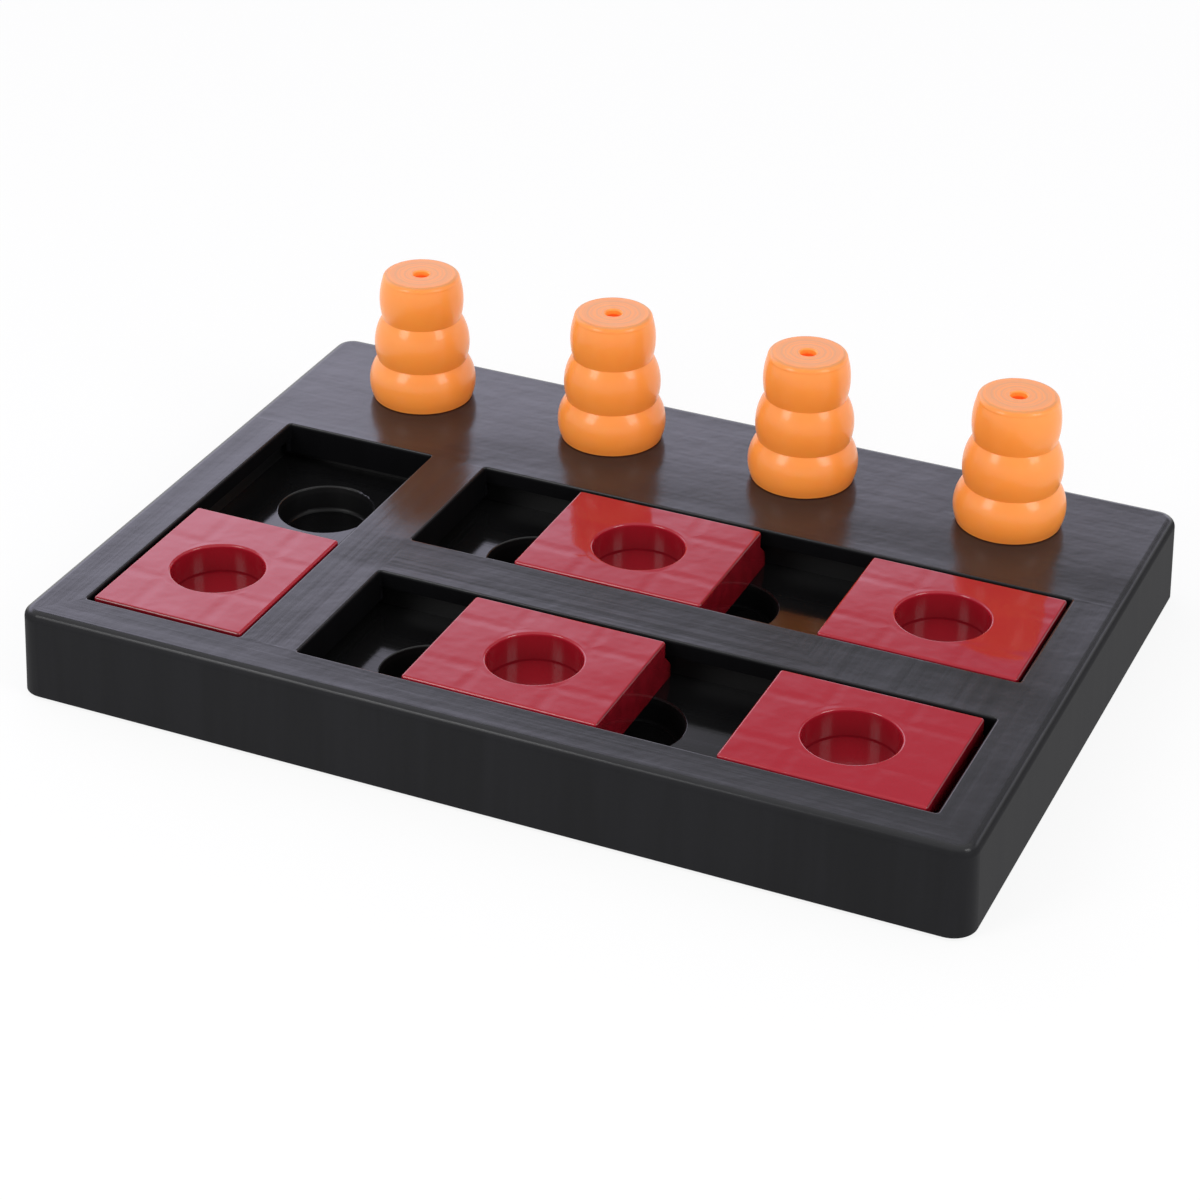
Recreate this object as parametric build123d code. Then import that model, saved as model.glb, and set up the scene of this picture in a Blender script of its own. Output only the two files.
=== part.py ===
from build123d import *
import math
import os

# Pet puzzle board. Millimetres, +X to the right, +Y to the back, +Z up.
# The origin is on the table, under the middle of the board.

# Outer shell
board_length = 400.0
board_depth = 280.0
shell_height = 37.0
wall_lean = 1.7
corner_radius = 10.0
edge_radius = 4.0
wall = 2.6
deck_thickness = 2.6

# Slots in the deck and the lips turned down round them
border = 22.0
rear_deck_depth = 91.0
rail_between_left_and_long = 26.0
rail_between_front_and_rear = 29.0
slot_corner_radius = 1.0
slot_edge_radius = 1.2
lip_wall = 2.4
side_lip_depth = 7.0
end_lip_depth = 13.7

# Channels, treat wells and guide walls of the tray
channel_depth = 18.5
floor_thickness = 2.2
guide_wall = 2.0
guide_gap = 0.3
tray_fit = 0.4
tray_skirt_wall = 2.0
tray_skirt_recess = 1.0
well_radius = 20.5
well_floor_radius = 18.5
well_depth = 11.0
well_wall = 2.0
well_rim_radius = 0.8
well_floor_fillet = 2.0
long_well_count = 3
long_well_shift = -3.5
left_well_count = 2
left_well_shift = 9.75
rib_thickness = 1.8
rib_depth = 9.0

# Sliders
slider_free_run = 96.0
slider_play = 2.4
slider_near_gap = 0.5
slider_proud = 0.4
slider_floor_gap = 0.25
slider_wall = 2.4
slider_corner_radius = 1.4
slider_edge_radius = 1.0
flange_reach = 5.0
flange_lip_gap = 0.5
flange_side_gap = 1.0
slider_rib_offset = 16.0
slider_rib_thickness = 1.5
slider_rib_depth = 6.0
finger_cup_radius = 19.1
finger_cup_depth = 12.5
finger_cup_wall = 2.0
finger_cup_fillet = 0.8
finger_cup_rim_radius = 0.9

# Where the sliders stand, from the nearest end of their slot
left_slider_from_front = 1.2
rear_left_slider_from_left = 45.8
rear_right_slider_from_right = 1.1
front_left_slider_from_left = 44.3
front_right_slider_from_right = 3.8

# Cones: radius and height above the deck of each turn of the profile
cone_height = 58.5
cone_base_radius = 22.2
cone_base_edge = 1.2
cone_bulges = ((23.45, 9.9), (20.9, 28.5), (18.5, 47.3))
cone_necks = ((19.8, 18.6), (17.4, 38.45))
cone_top_radius = 14.75
cone_top_fillet = 2.3
cone_roof = 2.4
spigot_radius = 16.4
spigot_depth = 3.0
spigot_wall = 2.0
spigot_chamfer = 0.6
core_draft = 0.8
scent_hole_radius = 3.5
scent_hole_chamfer = 0.7
inner_cone_ratio = 0.1115
outer_cone_ratio = 0.342
cone_row_shift = -2.2
cone_row_from_back = 38.8

# Seats of the cones in the deck, with room for a treat below the spigot
seat_gap = 0.6
seat_depth = 10.0
seat_taper = 1.0
seat_wall = 2.2
seat_edge_radius = 0.6

# Rubber feet
foot_radius = 7.0
foot_thickness = 4.0
foot_proud = 1.5
foot_edge_radius = 1.0
foot_socket_gap = 0.3
foot_socket_wall = 2.0
foot_inset = 24.0

# Screws from beneath
screw_radius = 1.4
screw_hole_gap = 0.1
screw_pass_gap = 0.4
screw_reach = 9.0
screw_head_radius = 3.0
screw_head_height = 2.2
screw_head_gap = 0.6
screw_post_radius = 4.0
screw_tube_wall = 1.8
corner_screw_inset = 10.5
rail_screw_from_end = 18.0

# Levels and places that follow from the sizes above
skirt_foot = foot_proud
deck_top = skirt_foot + shell_height
deck_under = deck_top - deck_thickness
floor_top = deck_top - channel_depth
floor_under = floor_top - floor_thickness
draft_angle = math.degrees(math.atan(wall_lean / shell_height))
slot_width = (board_depth - border - rail_between_front_and_rear - rear_deck_depth) / 2
slider_width = slot_width - slider_play
channel_side = flange_reach + flange_side_gap
slider_top = deck_top + slider_proud
slider_height = slider_top - floor_top - slider_floor_gap
seat_radius = spigot_radius + seat_gap
inner_cone_offset = board_length * inner_cone_ratio
outer_cone_offset = board_length * outer_cone_ratio
cone_y = board_depth / 2 - cone_row_from_back


class Slot:
    """A rectangular slot in the deck, and the direction its sliders run in."""

    def __init__(self, left, right, front, back, along):
        self.along = along
        self.length = right - left
        self.depth = back - front
        self.x = (left + right) / 2
        self.y = (front + back) / 2

    def prism(self, grow, low, high, radius=0.0):
        """A block over the slot's outline, grown all round, between two heights."""
        width, depth = self.length + 2 * grow, self.depth + 2 * grow
        face = RectangleRounded(width, depth, radius) if radius else Rectangle(width, depth)
        return Pos(self.x, self.y, low) * extrude(face, high - low)

    def end_block(self, end, thickness, low, high):
        """A block just beyond one end of the slot, as wide as the slot with the lips."""
        across = 2 * thickness
        if self.along == "X":
            face = Rectangle(thickness, self.depth + across)
            place = Pos(self.x + end * (self.length + thickness) / 2, self.y, low)
        else:
            face = Rectangle(self.length + across, thickness)
            place = Pos(self.x, self.y + end * (self.depth + thickness) / 2, low)
        return place * extrude(face, high - low)

    def holds(self, point):
        """Whether a point lies over the slot, its rim included."""
        over_x = abs(point.X - self.x) < self.length / 2 + slot_edge_radius
        return over_x and abs(point.Y - self.y) < self.depth / 2 + slot_edge_radius


left_edge = border - board_length / 2
front_edge = border - board_depth / 2
right_edge = board_length / 2 - border
long_left = left_edge + slot_width + rail_between_left_and_long
rear_front = front_edge + slot_width + rail_between_front_and_rear
rear_back = rear_front + slot_width
left_slot = Slot(left_edge, left_edge + slot_width, front_edge, rear_back, "Y")
front_slot = Slot(long_left, right_edge, front_edge, front_edge + slot_width, "X")
rear_slot = Slot(long_left, right_edge, rear_front, rear_back, "X")
slots = (left_slot, front_slot, rear_slot)
slider_length = (front_slot.length - slider_free_run) / 2
long_well_pitch = front_slot.length / long_well_count
left_well_pitch = left_slot.depth / left_well_count

long_rail_x = long_left - rail_between_left_and_long / 2
cross_rail_y = rear_front - rail_between_front_and_rear / 2


def row(middle, pitch, count):
    """Places evenly spaced along a line about its middle."""
    return [middle + (step - (count - 1) / 2) * pitch for step in range(count)]


long_wells_x = row(front_slot.x + long_well_shift, long_well_pitch, long_well_count)
left_wells_y = row(left_slot.y + left_well_shift, left_well_pitch, left_well_count)
well_places = [(x, slot.y) for slot in (front_slot, rear_slot) for x in long_wells_x]
well_places += [(left_slot.x, y) for y in left_wells_y]
cone_places = {"cone_far_left": cone_row_shift - outer_cone_offset,
               "cone_mid_left": cone_row_shift - inner_cone_offset,
               "cone_mid_right": cone_row_shift + inner_cone_offset,
               "cone_far_right": cone_row_shift + outer_cone_offset}

corner_screw_x = board_length / 2 - corner_screw_inset
corner_screw_y = board_depth / 2 - corner_screw_inset
screw_places = [(side * corner_screw_x, end * corner_screw_y) for side in (-1, 1) for end in (-1, 1)]
rail_screws_y = (front_edge + rail_screw_from_end, rear_back - rail_screw_from_end)
rail_screws_x = (long_left + rail_screw_from_end, right_edge - rail_screw_from_end)
screw_places += [(long_rail_x, y) for y in rail_screws_y] + [(x, cross_rail_y) for x in rail_screws_x]
between_cones = (inner_cone_offset + outer_cone_offset) / 2
screw_places += [(cone_row_shift + side * between_cones, cone_y) for side in (-1, 1)]

foot_x = board_length / 2 - foot_inset
foot_y = board_depth / 2 - foot_inset
foot_places = {f"foot_{row}_{column}": (x, y)
               for row, y in (("front", -foot_y), ("rear", foot_y))
               for column, x in (("left", -foot_x), ("middle", 0.0), ("right", foot_x))}


def upright(radius, low, high, place=(0.0, 0.0)):
    """A round post between two heights."""
    return Pos(*place, low) * Cylinder(radius, high - low, align=(Align.CENTER, Align.CENTER, Align.MIN))


def frustum(low_radius, high_radius, low, high, place=(0.0, 0.0)):
    """A round taper between two heights."""
    taper = Cone(low_radius, high_radius, high - low, align=(Align.CENTER, Align.CENTER, Align.MIN))
    return Pos(*place, low) * taper


def lean_at(height):
    """How far the drafted skirt has leaned in at a height."""
    return wall_lean * (height - skirt_foot) / shell_height


def drafted_block(inset, high):
    """The board's outline set in all round, drawn up with the skirt's draft."""
    outline = RectangleRounded(board_length - 2 * inset, board_depth - 2 * inset, corner_radius - inset)
    return Pos(0, 0, skirt_foot) * extrude(outline, high - skirt_foot, taper=draft_angle)


def make_cover():
    """Hollow shell with slots, lips, cone seats and screw posts."""
    shell = drafted_block(0.0, deck_top)
    shell = fillet(shell.faces().sort_by(Axis.Z)[-1].edges(), edge_radius)
    shell -= drafted_block(wall, deck_under)

    for slot in slots:
        shell += slot.prism(lip_wall, deck_top - side_lip_depth, deck_under)
        for end in (-1, 1):
            shell += slot.end_block(end, lip_wall, deck_top - end_lip_depth, deck_under)

    seat_floor = deck_top - seat_depth
    seat_floor_radius = seat_radius - seat_taper
    for x in cone_places.values():
        shell += frustum(seat_floor_radius + seat_wall, seat_radius + seat_wall, seat_floor - seat_wall,
                         deck_under, (x, cone_y))
    for place in screw_places:
        shell += upright(screw_post_radius, floor_top, deck_under, place)

    for slot in slots:
        shell -= slot.prism(0.0, deck_top - end_lip_depth, deck_top, slot_corner_radius)
    for x in cone_places.values():
        shell -= frustum(seat_floor_radius, seat_radius, seat_floor, deck_top, (x, cone_y))
    for place in screw_places:
        shell -= upright(screw_radius + screw_hole_gap, floor_top, floor_top + screw_reach, place)

    rims = shell.edges().filter_by_position(Axis.Z, deck_top, deck_top)
    slot_rims = [edge for edge in rims if any(slot.holds(edge.center()) for slot in slots)]
    shell = fillet(slot_rims, slot_edge_radius)
    rims = shell.edges().filter_by(GeomType.CIRCLE).filter_by_position(Axis.Z, deck_top, deck_top)
    seat_rims = [edge for edge in rims if abs(edge.radius - seat_radius) < seat_edge_radius]
    return fillet(seat_rims, seat_edge_radius)


def make_tray():
    """Channel floors with treat wells, guide walls, ribs, screw tubes and foot sockets."""
    inset = wall + lean_at(floor_top) + tray_fit
    outline = RectangleRounded(board_length - 2 * inset, board_depth - 2 * inset, corner_radius - inset)
    hollow = offset(outline, -tray_skirt_wall)
    skirt_low = skirt_foot + tray_skirt_recess
    rib_low = floor_under - rib_depth
    tray = Pos(0, 0, floor_under) * extrude(outline, floor_thickness)
    tray += Pos(0, 0, skirt_low) * extrude(outline - hollow, floor_under - skirt_low)

    for slot in slots:
        guide_top = deck_under - guide_gap
        ring = slot.prism(channel_side + guide_wall, floor_top, guide_top)
        tray += ring - slot.prism(channel_side, floor_top, guide_top)

    rib_span_x = board_length - 2 * inset - tray_skirt_wall
    rib_span_y = board_depth - 2 * inset - tray_skirt_wall
    rib_middle = rib_low + rib_depth / 2
    for y in (cross_rail_y, (rear_back + cone_y) / 2):
        tray += Pos(0, y, rib_middle) * Box(rib_span_x, rib_thickness, rib_depth)
    between_wells = [x + long_well_pitch / 2 for x in long_wells_x[:-1]]
    for x in [long_rail_x] + between_wells:
        tray += Pos(x, 0, rib_middle) * Box(rib_thickness, rib_span_y, rib_depth)

    well_low = floor_top - well_depth
    for place in well_places:
        tray += frustum(well_floor_radius + well_wall, well_radius + well_wall, well_low - well_wall,
                        floor_under, place)
    tube_radius = screw_head_radius + screw_head_gap
    for place in screw_places:
        tray += upright(tube_radius + screw_tube_wall, rib_low, floor_under, place)
    socket_radius = foot_radius + foot_socket_gap
    for place in foot_places.values():
        tray += upright(socket_radius + foot_socket_wall, skirt_low, floor_under, place)

    well = frustum(well_floor_radius, well_radius, well_low, floor_top)
    well = fillet(well.edges().sort_by(Axis.Z)[0], well_floor_fillet)
    for place in well_places:
        tray -= Pos(*place, 0) * well
    for place in screw_places:
        tray -= upright(tube_radius, rib_low, floor_under, place)
        tray -= upright(screw_radius + screw_pass_gap, floor_under, floor_top, place)
    for place in foot_places.values():
        tray -= upright(socket_radius, skirt_low, foot_thickness, place)

    rims = tray.edges().filter_by(GeomType.CIRCLE).filter_by_position(Axis.Z, floor_top, floor_top)
    well_rims = [edge for edge in rims if abs(edge.radius - well_radius) < well_rim_radius]
    return fillet(well_rims, well_rim_radius)


def make_slider():
    """Hollow slider that runs along X: plate between the lips, flanges under them, finger cup on top."""
    half = slider_width / 2
    shoulder = side_lip_depth + slider_proud + flange_lip_gap
    tip = shoulder + flange_reach

    def drawn(inset, length):
        """Half the section, set in by a wall from above and outside, drawn out and mirrored."""
        plate = half - inset
        flange = plate + flange_reach
        section = Polyline((0, -shoulder - inset), (plate, -shoulder - inset), (flange, -tip - inset),
                           (flange, -slider_height), (0, -slider_height), close=True)
        bar = extrude(Plane.YZ * make_face(section), length / 2, both=True)
        return bar + mirror(bar, Plane.XZ)

    outline = RectangleRounded(slider_length, slider_width, slider_corner_radius)
    plate = extrude(outline, -shoulder)
    plate = fillet(plate.faces().sort_by(Axis.Z)[-1].edges(), slider_edge_radius)
    body = plate + drawn(0.0, slider_length)
    hollow_length = slider_length - 2 * slider_wall
    hollow = Rectangle(hollow_length, slider_width - 2 * slider_wall)
    body -= Pos(0, 0, -slider_wall) * extrude(hollow, -shoulder) + drawn(slider_wall, hollow_length)
    long_rib = Box(slider_length - slider_wall, slider_rib_thickness, slider_rib_depth)
    cross_rib = Box(slider_rib_thickness, slider_width - slider_wall, slider_rib_depth)
    rib_level = -slider_wall - slider_rib_depth / 2
    for away in (-slider_rib_offset, slider_rib_offset):
        body += Pos(0, away, rib_level) * long_rib + Pos(away, 0, rib_level) * cross_rib
    body += upright(finger_cup_radius + finger_cup_wall, -finger_cup_depth - finger_cup_wall, -slider_wall)
    cup = upright(finger_cup_radius, -finger_cup_depth, 0.0)
    cup = fillet(cup.edges().sort_by(Axis.Z)[0], finger_cup_fillet)
    body -= cup
    rims = body.edges().filter_by(GeomType.CIRCLE).filter_by_position(Axis.Z, 0.0, 0.0)
    return fillet(rims, finger_cup_rim_radius)


def make_cone():
    """Three stacked bulges on a flat base, with a spigot below, a drafted core and a scent hole on top."""
    shoulder = cone_height - cone_top_fillet
    turns = [(cone_base_radius, cone_base_edge), *cone_necks, (cone_top_radius + cone_top_fillet, shoulder)]
    side = [ThreePointArc(start, bulge, end) for start, bulge, end in zip(turns, cone_bulges, turns[1:])]
    flat_radius = cone_base_radius - cone_base_edge
    base = [Line((0, 0), (flat_radius, 0)), CenterArc((flat_radius, cone_base_edge), cone_base_edge, 270, 90)]
    crown = [CenterArc((cone_top_radius, shoulder), cone_top_fillet, 0, 90),
             Polyline((cone_top_radius, cone_height), (0, cone_height), (0, 0))]
    cone = revolve(Plane.XZ * make_face(base + side + crown), Axis.Z)

    spigot = upright(spigot_radius, -spigot_depth, 0.0)
    cone += chamfer(spigot.edges().sort_by(Axis.Z)[0], spigot_chamfer)
    core_radius = spigot_radius - spigot_wall
    ceiling = cone_height - cone_roof
    cone -= frustum(core_radius, core_radius - core_draft, -spigot_depth, ceiling)
    cone -= upright(scent_hole_radius, ceiling, cone_height)
    rims = cone.edges().filter_by(GeomType.CIRCLE).filter_by_position(Axis.Z, cone_height, cone_height)
    return chamfer(rims.sort_by(SortBy.RADIUS)[0], scent_hole_chamfer)


def make_foot():
    """Rubber pad with a rounded tread edge."""
    pad = upright(foot_radius, 0.0, foot_thickness)
    return fillet(pad.edges().sort_by(Axis.Z)[0], foot_edge_radius)


def make_screw():
    """Pan-head screw that points up, with the underside of its head at height zero."""
    head = upright(screw_head_radius, -screw_head_height, 0.0)
    head = fillet(head.edges().sort_by(Axis.Z)[0], screw_head_height / 2)
    return head + upright(screw_radius, 0.0, floor_thickness + screw_reach)


os.makedirs("parts", exist_ok=True)


def save(node, shape):
    """Writes one node."""
    export_step(shape, f"parts/{node}.step")


save("top_cover", make_cover())
save("base_tray", make_tray())

slider = make_slider()
from_left = long_left + slider_length / 2
from_right = right_edge - slider_length / 2
from_front = front_edge + slider_length / 2
aside = slider_near_gap - slider_play / 2
slider_places = {
    "slider_left": (left_slot.x - aside, from_front + left_slider_from_front, 90),
    "slider_rear_left": (from_left + rear_left_slider_from_left, rear_slot.y + aside, 0),
    "slider_rear_right": (from_right - rear_right_slider_from_right, rear_slot.y + aside, 0),
    "slider_front_left": (from_left + front_left_slider_from_left, front_slot.y + aside, 0),
    "slider_front_right": (from_right - front_right_slider_from_right, front_slot.y + aside, 0),
}
for node, (x, y, turn) in slider_places.items():
    save(node, Pos(x, y, slider_top) * Rot(0, 0, turn) * slider)

cone = make_cone()
for node, x in cone_places.items():
    save(node, Pos(x, cone_y, deck_top) * cone)

foot = make_foot()
for node, place in foot_places.items():
    save(node, Pos(*place, 0) * foot)

screw = make_screw()
save("cover_screws", Compound([Pos(*place, floor_under) * screw for place in screw_places]))
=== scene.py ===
import math
import bpy
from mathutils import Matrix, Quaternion, Vector


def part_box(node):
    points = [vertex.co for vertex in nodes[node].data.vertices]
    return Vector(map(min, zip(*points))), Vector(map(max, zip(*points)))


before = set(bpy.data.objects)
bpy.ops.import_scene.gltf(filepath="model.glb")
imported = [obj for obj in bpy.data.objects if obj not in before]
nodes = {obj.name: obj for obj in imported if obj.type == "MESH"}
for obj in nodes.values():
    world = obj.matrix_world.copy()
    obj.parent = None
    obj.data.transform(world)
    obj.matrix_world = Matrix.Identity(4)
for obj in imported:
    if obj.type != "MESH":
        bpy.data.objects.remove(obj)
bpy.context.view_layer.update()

# Base tray: the black moulding inside the cover, with the channel floors and the treat wells.
# Polished polystyrene, screwed up against the posts of the cover from beneath; the sliders run on it
# and leave fine rub marks along their way.


class Shade:
    """A shader socket. Sums and products of it make the nodes that work them out."""

    def __init__(self, tree, socket=None):
        self.tree = tree
        self.socket = socket

    def node(self, kind, out=0, inputs=None, **settings):
        made = self.tree.nodes.new("ShaderNode" + kind)
        for name, value in settings.items():
            setattr(made, name, value)
        for key, value in (inputs or {}).items():
            if isinstance(value, Shade):
                self.tree.links.new(value.socket, made.inputs[key])
            else:
                made.inputs[key].default_value = value
        return Shade(self.tree, made.outputs[out])

    def maths(self, operation, *values):
        if all(not isinstance(value, Shade) or value.socket.type == "VALUE" for value in values):
            return self.node("Math", inputs=dict(enumerate(values)), operation=operation)
        vectors = [(value,) * 3 if isinstance(value, (int, float)) else value for value in values]
        return self.node("VectorMath", inputs=dict(enumerate(vectors)), operation=operation)

    def __add__(self, other):
        return self.maths("ADD", self, other)

    def __sub__(self, other):
        return self.maths("SUBTRACT", self, other)

    def __rsub__(self, other):
        return self.maths("SUBTRACT", other, self)

    def __mul__(self, other):
        return self.maths("MULTIPLY", self, other)

    def __truediv__(self, other):
        return self.maths("DIVIDE", self, other)

    def __rtruediv__(self, other):
        return self.maths("DIVIDE", other, self)

    def __pow__(self, other):
        return self.maths("POWER", self, other)

    def __abs__(self):
        return self.maths("ABSOLUTE", self)

    __radd__ = __add__
    __rmul__ = __mul__

    def least(self, other):
        return self.maths("MINIMUM", self, other)

    def most(self, other):
        return self.maths("MAXIMUM", self, other)

    def unit(self):
        return self.maths("NORMALIZE", self)

    def ramp(self, low, high, start=0.0, end=1.0):
        """Runs smoothly from the start value to the end value between two places."""
        inputs = {"Value": self, "From Min": low, "From Max": high, "To Min": start, "To Max": end}
        return self.node("MapRange", inputs=inputs, interpolation_type="SMOOTHSTEP")

    def fall(self, low, high, start=1.0):
        """Runs smoothly down to nothing between two places."""
        return self.ramp(low, high, start, 0.0)

    def past(self, edge, blend):
        """1 past an edge and 0 before it."""
        return self.ramp(edge - blend, edge + blend)

    def before(self, edge, blend):
        """1 before an edge and 0 past it."""
        return self.fall(edge - blend, edge + blend)

    def mix(self, a, b):
        """Mixes two colours."""
        return self.node("Mix", 2, {0: self, 6: a, 7: b}, data_type="RGBA")

    def blend(self, a, b):
        """Mixes two surface shaders."""
        return self.node("MixShader", inputs={0: self, 1: a, 2: b})

    def noise(self, scale, detail=2.0, roughness=0.5):
        inputs = {"Vector": self, "Scale": scale, "Detail": detail, "Roughness": roughness}
        return self.node("TexNoise", inputs=inputs)

    def bump(self, distance, strength=1.0):
        """The normal of a surface with this height, counted in units of the distance."""
        return self.node("Bump", inputs={"Height": self, "Strength": strength, "Distance": distance})

    def axes(self):
        return [self.node("SeparateXYZ", axis, {0: self}) for axis in range(3)]

    def vector(self, x, y, z):
        return self.node("CombineXYZ", inputs={0: x, 1: y, 2: z})


def material(name):
    """A fresh node material, and a shade to start its nodes from."""
    made = bpy.data.materials.new(name)
    made.use_nodes = True
    made.node_tree.nodes.clear()
    return made, Shade(made.node_tree)


def close(made, shader):
    """Links a surface shader to the material's output."""
    output = made.node_tree.nodes.new("ShaderNodeOutputMaterial")
    made.node_tree.links.new(shader.socket, output.inputs["Surface"])


def dress(node, made):
    """Gives an object its material."""
    node.data.materials.clear()
    node.data.materials.append(made)


cover_low, cover_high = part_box("top_cover")
border = 0.022
rear_deck_depth = 0.091
cross_rail_width = 0.026
middle_rail_width = 0.029
slot_width = (cover_high.y - cover_low.y - border - middle_rail_width - rear_deck_depth) / 2
cross_rail_middle = cover_low.x + border + slot_width + cross_rail_width / 2
channel_depth = 0.0185
channel_floor = cover_high.z - channel_depth
edge_blend = 0.0005
nearly_level = (0.6, 0.97)
tray_black = (0.004, 0.004, 0.0042, 1)
tray_clouded = (0.008, 0.008, 0.0085, 1)
tray_painted_shade = (0.003, 0.003, 0.0032, 1)
rubs_run_in_x = (14.0, 900.0, 60.0)
rubs_run_in_y = (900.0, 14.0, 60.0)
tray_bump = 0.00004

tray_gloss, start = material("tray_gloss")
place = start.node("TexCoord", "Object")
x = place.axes()[0]
z = place.axes()[2]
in_left_channel = x.before(cross_rail_middle, edge_blend)
rubs_long = (place * rubs_run_in_x).noise(1.0, 3.0)
rubs_left = (place * rubs_run_in_y).noise(1.0, 3.0)
rubs = in_left_channel * rubs_left + (1.0 - in_left_channel) * rubs_long
sloping = 1.0 - start.node("TexCoord", "Normal").axes()[2].ramp(*nearly_level)
clouds = place.noise(38.0, 3.0)
peel = place.noise(900.0, 1.0)
gloss = start.node("BsdfPrincipled", inputs={
    "Base Color": clouds.mix(tray_black, tray_clouded),
    "Roughness": clouds * 0.06 + rubs.ramp(0.5, 0.85) * 0.14 + sloping * 0.34 + 0.07,
    "Normal": (peel * 0.6 + rubs.ramp(0.55, 0.8) * 0.4).bump(tray_bump, 0.25)})
# Painted shade: a matt near-black stands in for the shade in the wells below the channel floor and, more
# faintly, on the sloping walls.
painted_tray_shade = start.node("BsdfDiffuse", inputs={"Color": tray_painted_shade})
shade_below_floor = z.fall(channel_floor - 0.0035, channel_floor - 0.0002, 0.6)
close(tray_gloss, shade_below_floor.most(sloping * 0.4).blend(gloss, painted_tray_shade))
dress(nodes["base_tray"], tray_gloss)

# Feet: six round rubber pads pressed into the sockets of the tray.
# Matt black rubber with a fine pebble, a little dusty on the tread.


def pieces(kind):
    """The names of all pieces of one kind."""
    return [name for name in nodes if name.startswith(kind)]


tread_height = 0.0006
rubber_black = (0.012, 0.012, 0.012, 1)
rubber_dusty = (0.05, 0.047, 0.043, 1)
pebble_bump = 0.0001

foot_rubber, start = material("foot_rubber")
place = start.node("TexCoord", "Object")
on_tread = place.axes()[2].fall(0.0, tread_height)
dust = place.noise(260.0, 4.0) * on_tread
pebble = start.node("TexVoronoi", inputs={"Vector": place, "Scale": 1400.0})
close(foot_rubber, start.node("BsdfPrincipled", inputs={
    "Base Color": dust.mix(rubber_black, rubber_dusty),
    "Roughness": place.noise(500.0) * 0.15 + 0.7,
    "Normal": pebble.bump(pebble_bump, 0.4)}))
for name in pieces("foot_"):
    dress(nodes[name], foot_rubber)

# Screws: ten pan-head screws through the tray into the posts of the cover.
# Zinc-plated steel with a fine grain, a little uneven in tone.
zinc_dark = (0.42, 0.42, 0.43, 1)
zinc_light = (0.56, 0.56, 0.55, 1)
zinc_bump = 0.00003

screw_steel, start = material("screw_steel")
place = start.node("TexCoord", "Object")
grain = place.noise(2500.0, 2.0)
close(screw_steel, start.node("BsdfPrincipled", inputs={
    "Base Color": place.noise(300.0).mix(zinc_dark, zinc_light),
    "Metallic": 1.0,
    "Roughness": grain * 0.2 + 0.25,
    "Normal": grain.bump(zinc_bump, 0.2)}))
dress(nodes["cover_screws"], screw_steel)

# Top cover: the black shell with the slots and the cone seats, held by the screws from beneath.
# Satin polystyrene: the deck is rubbed along each rail, with mitres at the corners, and the skirt is
# duller, with a fine grain and faint upright drag marks from the mould. The walls inside the slots carry
# painted shade.
slots_front = cover_low.y + border
slots_back = cover_high.y - rear_deck_depth
middle_rail_front = slots_front + slot_width
middle_rail_back = slots_back - slot_width
left_slot_left = cover_low.x + border
long_slots_left = cross_rail_middle + cross_rail_width / 2
long_slots_right = cover_high.x - border
left_slot = (left_slot_left, left_slot_left + slot_width, slots_front, slots_back)
front_slot = (long_slots_left, long_slots_right, slots_front, middle_rail_front)
rear_slot = (long_slots_left, long_slots_right, middle_rail_back, slots_back)
mitre_blend = 0.0006
slot_blend = 0.0004
turned_width = 0.008
rim_start = 0.003
rim_end = 0.013
sag_fades_from = -0.05
sag_lean = 0.022
deck_black = (0.01, 0.01, 0.011, 1)
deck_rubbed = (0.022, 0.022, 0.0245, 1)
skirt_black = (0.0038, 0.0038, 0.0047, 1)
skirt_dragged = (0.009, 0.009, 0.011, 1)
skirt_dull = (0.005, 0.005, 0.0062, 1)
slot_painted_shade = (0.0032, 0.0032, 0.0036, 1)
streaks_run_in_x = (2.5, 170.0, 1.0)
streaks_run_in_y = (170.0, 2.5, 1.0)
drag_runs_upright = (90.0, 90.0, 5.0)
millimetre = 0.001
cover_specular = 0.4


def outside(x, y, left, right, front, back):
    """How far a place lies outside a rectangle."""
    beside = (left - x).most(x - right).most(0.0)
    beyond = (front - y).most(y - back).most(0.0)
    return (beside * beside + beyond * beyond) ** 0.5


cover_satin, start = material("cover_satin")
place = start.node("TexCoord", "Object")
x, y = place.axes()[:2]
facing = start.node("TexCoord", "Normal").axes()[2]
upward = facing.ramp(*nearly_level)
from_slot = outside(x, y, *left_slot)
for slot in (front_slot, rear_slot):
    from_slot = from_slot.least(outside(x, y, *slot))
from_side = (x - cover_low.x).least(cover_high.x - x)
from_front = y - cover_low.y
from_rim = from_side.least(from_front).least(cover_high.y - y)

side_border = (from_front - from_side).past(0.0, mitre_blend)
on_cross_rail = abs(x - cross_rail_middle).before(cross_rail_width / 2, edge_blend)
cross_rail = on_cross_rail * y.past(slots_front, edge_blend)
rubbed_in_y = side_border.most(cross_rail) * y.before(slots_back, edge_blend)
streak_x = (place * streaks_run_in_x).noise(1.0, 4.0)
streak_y = (place * streaks_run_in_y).noise(1.0, 4.0)
streak = rubbed_in_y * streak_y + (1.0 - rubbed_in_y) * streak_x
clouds = place.noise(24.0, 4.0, 0.6)
grain = place.noise(2600.0, 2.0)
drag = (place * drag_runs_upright).noise(1.0, 3.0, 0.6)

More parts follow.
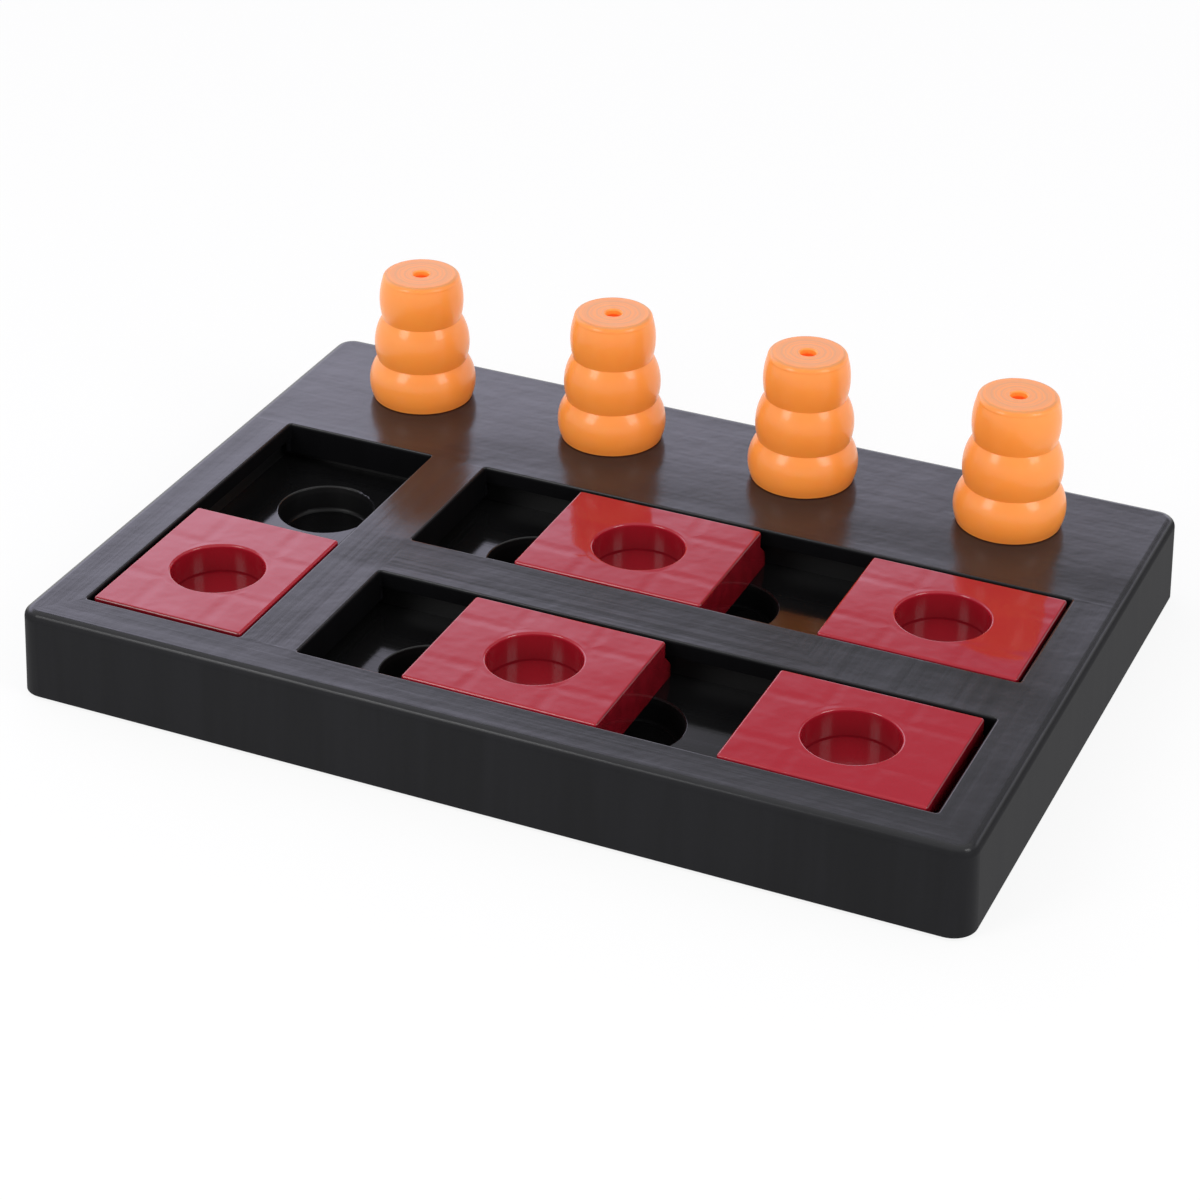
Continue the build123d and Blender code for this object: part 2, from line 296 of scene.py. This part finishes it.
# Heights are in millimetres: the lips and the rim stand up, and the rails lean as if they sagged.
turned_up = from_slot.fall(0.0, turned_width, 0.06)
raised_rim = from_rim.fall(rim_start, rim_end, 0.06)
rubbed = streak * y.ramp(slots_back - 0.004, slots_back + 0.011, 0.12, 0.045)
deck_height = (turned_up + raised_rim + rubbed + clouds * 0.3) * upward
bump = (deck_height + grain * 0.0016).bump(millimetre)
from_slots_back = y.ramp(slots_back - 0.003, slots_back + 0.001)
behind_slot = from_slots_back * y.fall(slots_back + 0.017, slots_back + 0.051)
from_rail_front = y.ramp(middle_rail_front - 0.001, middle_rail_front + 0.004)
middle_rail = from_rail_front * y.fall(middle_rail_back - 0.004, middle_rail_back + 0.001)
right_of_cross_rail = x.ramp(cross_rail_middle - 0.019, cross_rail_middle + 0.011)
fading = x.ramp(sag_fades_from, cover_high.x, 1.0, 0.65)
sagging = behind_slot.most(middle_rail) * right_of_cross_rail * fading * upward
bump = (bump - start.vector(0.0, sagging * sag_lean, 0.0)).unit()

deck = start.node("BsdfPrincipled", inputs={
    "Base Color": (streak * 0.6 + clouds * 0.4).mix(deck_black, deck_rubbed),
    "Roughness": streak * 0.14 + clouds * 0.05 + 0.1,
    "Specular IOR Level": cover_specular,
    "Normal": bump})
skirt = start.node("BsdfPrincipled", inputs={
    "Base Color": drag.ramp(0.3, 0.7).mix(skirt_black, skirt_dragged),
    "Roughness": drag * 0.1 + grain * 0.06 + facing.ramp(0.05, 0.3) * 0.15 + 0.4,
    "Specular IOR Level": cover_specular,
    "Normal": bump})
# Painted shade: inside the slots the skirt gets a darker, fully matt colour in a larger share.
slot_shade_mask = from_slot.fall(0.0, slot_blend)
dull_and_slot_shade = start.node("BsdfPrincipled", inputs={
    "Base Color": slot_shade_mask.mix(skirt_dull, slot_painted_shade),
    "Roughness": 1.0,
    "Specular IOR Level": 0.0})
skirt = (slot_shade_mask * 0.32 + 0.58).blend(skirt, dull_and_slot_shade)
close(cover_satin, upward.blend(skirt, deck))
dress(nodes["top_cover"], cover_satin)

# Sliders: five red mouldings, each held under the lips of its slot by two flanges.
# Glossy crimson plastic; ribs under the plate show on top as faint sink marks round the finger cup,
# whose floor has a small gate mark. The rear left plate leans a little, in its shading alone.
# The inside of the cup, the corner round its floor and the mottled end faces carry painted shade.
plate_edge = 0.001
end_face = 0.0409
rib_offset = 0.016
sink_width = 0.0045
cup_rim = 0.02
gate_radius = 0.002
gate_dimple = 0.0014
gate_blend = 0.0002
rear_left_lean = 0.012
crimson_dark = (0.31, 0.007, 0.018, 1)
crimson_light = (0.36, 0.01, 0.024, 1)
crimson_cup_painted_shade = (0.25, 0.006, 0.013, 1)
crimson_end_painted_shade = (0.13, 0.004, 0.008, 1)
crimson_shaded = (0.16, 0.0045, 0.009, 1)
scuffs_run_in_x = (60.0, 700.0, 60.0)


def slider_finish(name, lean):
    low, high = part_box(name)
    middle = (low + high) / 2
    made, start = material(name + "_gloss")
    place = start.node("TexCoord", "Object")
    x, y, z = place.axes()
    across = abs(x - middle.x)
    along = abs(y - middle.y)
    radius = (across * across + along * along) ** 0.5
    towards_end = along if name == "slider_left" else across
    end_shade = towards_end.ramp(end_face - 0.0005, end_face)
    on_plate = z.ramp(high.z - plate_edge - 0.0006, high.z - plate_edge)
    sink_across = abs(across - rib_offset).fall(0.0, sink_width)
    sink_along = abs(along - rib_offset).fall(0.0, sink_width)
    sink = sink_across.most(sink_along) * radius.ramp(cup_rim - 0.0005, cup_rim + 0.0025) * on_plate
    in_cup_shaded = radius.fall(cup_rim - 0.0004, cup_rim + 0.0002) * (1.0 - on_plate)
    facing = start.node("TexCoord", "Normal").axes()[2]
    # Painted shade: the fillet round the floor of the cup is drawn in a matt darker red.
    cup_corner_shade = in_cup_shaded * facing.ramp(0.1, 0.3) * facing.fall(0.95, 0.995)
    gate = radius.before(gate_radius, gate_blend) - radius.before(gate_dimple, gate_blend) * 0.6
    mottle = place.noise(160.0, 3.0).ramp(0.3, 0.65, 1.0, 0.75)
    waves = place.noise(48.0, 2.0)
    flow = place.noise(17.0, 4.0, 0.6)
    scuff = (place * scuffs_run_in_x).noise(1.0, 3.0).ramp(0.6, 0.75)
    peel = place.noise(1500.0, 1.0)
    colour = flow.mix(crimson_dark, crimson_light)
    # Painted shade: the inside of the finger cup is painted a darker red.
    colour = in_cup_shaded.mix(colour, crimson_cup_painted_shade)
    # Painted shade: the end faces, down in the channel, are painted a darker red, mottled at random.
    colour = (end_shade * mottle).mix(colour, crimson_end_painted_shade)
    height = waves * 0.09 + flow * 0.3 - sink * 0.035 + gate * 0.03 + peel * 0.0008
    leaning = start.vector(0.0, on_plate * lean, 0.0)
    gloss = start.node("BsdfPrincipled", inputs={
        "Base Color": colour,
        "Roughness": flow * 0.06 + waves * 0.04 + scuff * 0.06 + in_cup_shaded * 0.1 + 0.02,
        "Normal": (height.bump(millimetre) - leaning).unit()})
    shaded = start.node("BsdfDiffuse", inputs={"Color": crimson_shaded})
    close(made, cup_corner_shade.blend(gloss, shaded))
    return made


for name in pieces("slider_"):
    dress(nodes[name], slider_finish(name, rear_left_lean if name == "slider_rear_left" else 0.0))

# Cones: four hollow orange mouldings of three stacked bulges, standing loose in their seats.
# Semi-gloss polypropylene, thin enough to let some light through; a faint painted glow, stronger on the
# inside, adds to it.
# The mould has left faint turning rings on the flat top, drawn paler; the whole top is also painted
# paler, a painted sheen.
orange_deep = (0.83, 0.268, 0.036, 1)
orange_pale = (0.86, 0.296, 0.046, 1)
orange_rings_and_painted_sheen = (0.6, 0.29, 0.12, 1)
painted_glow_through_wall = (0.075, 0.006, 0.0, 1)
painted_glow_inside = (0.3, 0.06, 0.01, 1)
ring_scale = 700.0
orange_bump = 0.00006


def cone_finish(name):
    low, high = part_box(name)
    middle = (low + high) / 2
    made, start = material(name + "_orange")
    place = start.node("TexCoord", "Object")
    x, y, z = place.axes()
    from_middle_x = x - middle.x
    from_middle_y = y - middle.y
    radius = (from_middle_x ** 2.0 + from_middle_y ** 2.0) ** 0.5
    on_top = z.ramp(high.z - 0.0008, high.z - 0.0003)
    worn = place.noise(300.0, 3.0)
    turning = start.vector(radius * ring_scale + worn * 1.2, 0.0, 0.0)
    rings = turning.noise(1.0, 1.0).ramp(0.35, 0.65) * on_top
    flow = place.noise(40.0, 3.0)
    peel = place.noise(1800.0, 2.0)
    facing_x, facing_y = start.node("TexCoord", "Normal").axes()[:2]
    outward = facing_x * from_middle_x + facing_y * from_middle_y
    # Painted glow: a faint emission, stronger on inward faces, stands in for light let through the
    # walls.
    inside = outward.fall(-0.0004, -0.0001)
    colour = flow.mix(orange_deep, orange_pale)
    # Painted sheen: the flat top is painted paler, and the turning rings paler still.
    close(made, start.node("BsdfPrincipled", inputs={
        "Base Color": (on_top * 0.2 + rings * 0.6).mix(colour, orange_rings_and_painted_sheen),
        "Roughness": flow * 0.08 + peel * 0.05 + rings * 0.15 + 0.42,
        "Specular IOR Level": 0.3,
        "Coat Weight": 0.6 - on_top * 0.3,
        "Coat Roughness": 0.18,
        "Emission Color": inside.mix(painted_glow_through_wall, painted_glow_inside),
        "Emission Strength": 1.0,
        "Subsurface Weight": 0.3,
        "Subsurface Radius": (1.0, 0.3, 0.1),
        "Subsurface Scale": 0.002,
        "Normal": (rings + peel * 0.6).bump(orange_bump, 0.2)}))
    return made


for name in pieces("cone_"):
    dress(nodes[name], cone_finish(name))

# Studio: a pale floor that runs out into white, a room that is brighter behind on the left, and two soft
# keys in front. The floor shows from above only, so that the underside can be seen from beneath.
scene = bpy.context.scene
scene.view_settings.view_transform = "Standard"
floor_reach = 4.0
floor_pale = (0.9, 0.9, 0.9, 1)
white = (1, 1, 1, 1)
room_low = (1.6, 1.6, 1.6, 1)
room_high = (0.72, 0.72, 0.72, 1)
room_behind = (0.32, 0.32, 0.33, 1)
glow_colour = (2.28, 2.22, 2.75, 1)

floor_mesh = bpy.data.meshes.new("studio_floor")
quarters = ((-1, -1), (1, -1), (1, 1), (-1, 1))
corners = [(across * floor_reach, along * floor_reach, 0) for across, along in quarters]
floor_mesh.from_pydata(corners, [], [(0, 1, 2, 3)])
floor = bpy.data.objects.new("studio_floor", floor_mesh)
scene.collection.objects.link(floor)
floor_white, start = material("floor_white")
path = start.node("LightPath", "Is Camera Ray").most(start.node("LightPath", "Is Glossy Ray"))
path = path.most(start.node("LightPath", "Is Transmission Ray"))
matt = start.node("BsdfDiffuse", inputs={"Color": floor_pale})
shining = start.node("Emission", inputs={"Color": white, "Strength": 1.0})
from_above = (path * 0.86).blend(matt, shining)
from_below = start.node("BsdfTransparent")
close(floor_white, start.node("NewGeometry", "Backfacing").blend(from_above, from_below))
dress(floor, floor_white)

world = bpy.data.worlds.new("studio_white")
scene.world = world
world.use_nodes = True
world.node_tree.nodes.clear()
sky = Shade(world.node_tree)
x, y, z = sky.node("TexCoord", "Generated").axes()
seen = sky.node("LightPath", "Is Camera Ray").most(sky.node("LightPath", "Is Transmission Ray"))
seen = seen.most(sky.node("LightPath", "Is Glossy Ray") * z.fall(0.06, 0.16))
level = (x * x + y * y) ** 0.5
behind = y / level
to_left = 2.25 - x / level - z * 4.5
glow = to_left.ramp(0.06, 0.74) * behind.ramp(-0.3, 0.3) * z.ramp(0.15, 0.35)
dim = behind.ramp(0.45, 0.8) * z.ramp(0.16, 0.4) * z.fall(0.6, 0.75)
room = z.ramp(0.0, 0.4).mix(room_low, room_high)
around = glow.mix(dim.mix(room, room_behind), glow_colour)
background = sky.node("Background", inputs={"Color": seen.mix(around, white)})
output = world.node_tree.nodes.new("ShaderNodeOutputWorld")
world.node_tree.links.new(background.socket, output.inputs["Surface"])


def softbox(name, spot, power):
    """A soft key light that faces the board."""
    light = bpy.data.lights.new(name, "AREA")
    light.shape = "RECTANGLE"
    light.size = 0.6
    light.size_y = 0.8
    light.energy = power
    lamp = bpy.data.objects.new(name, light)
    scene.collection.objects.link(lamp)
    lamp.location = spot
    board_middle = Vector((0, 0.05, 0.06))
    lamp.rotation_euler = (board_middle - Vector(spot)).to_track_quat("-Z", "Y").to_euler()


softbox("key_left", (-0.71, -1.19, 0.92), 8.6)
softbox("key_right", (1.36, -0.31, 0.92), 7.7)

# Camera: a long lens, to the right of the middle and above.
# It looks down on the board, and is rolled by less than a degree.
camera_data = bpy.data.cameras.new("camera")
camera_data.sensor_width = 36.0
camera_data.lens = 95.76
camera = bpy.data.objects.new("camera", camera_data)
scene.collection.objects.link(camera)
camera.location = (0.4462, -1.0391, 0.6844)
view_line = Vector((-0.34459, 0.79015, -0.50687))
roll = Quaternion((0, 0, 1), math.radians(0.859))
camera.rotation_euler = (view_line.to_track_quat("-Z", "Y") @ roll).to_euler()
scene.camera = camera
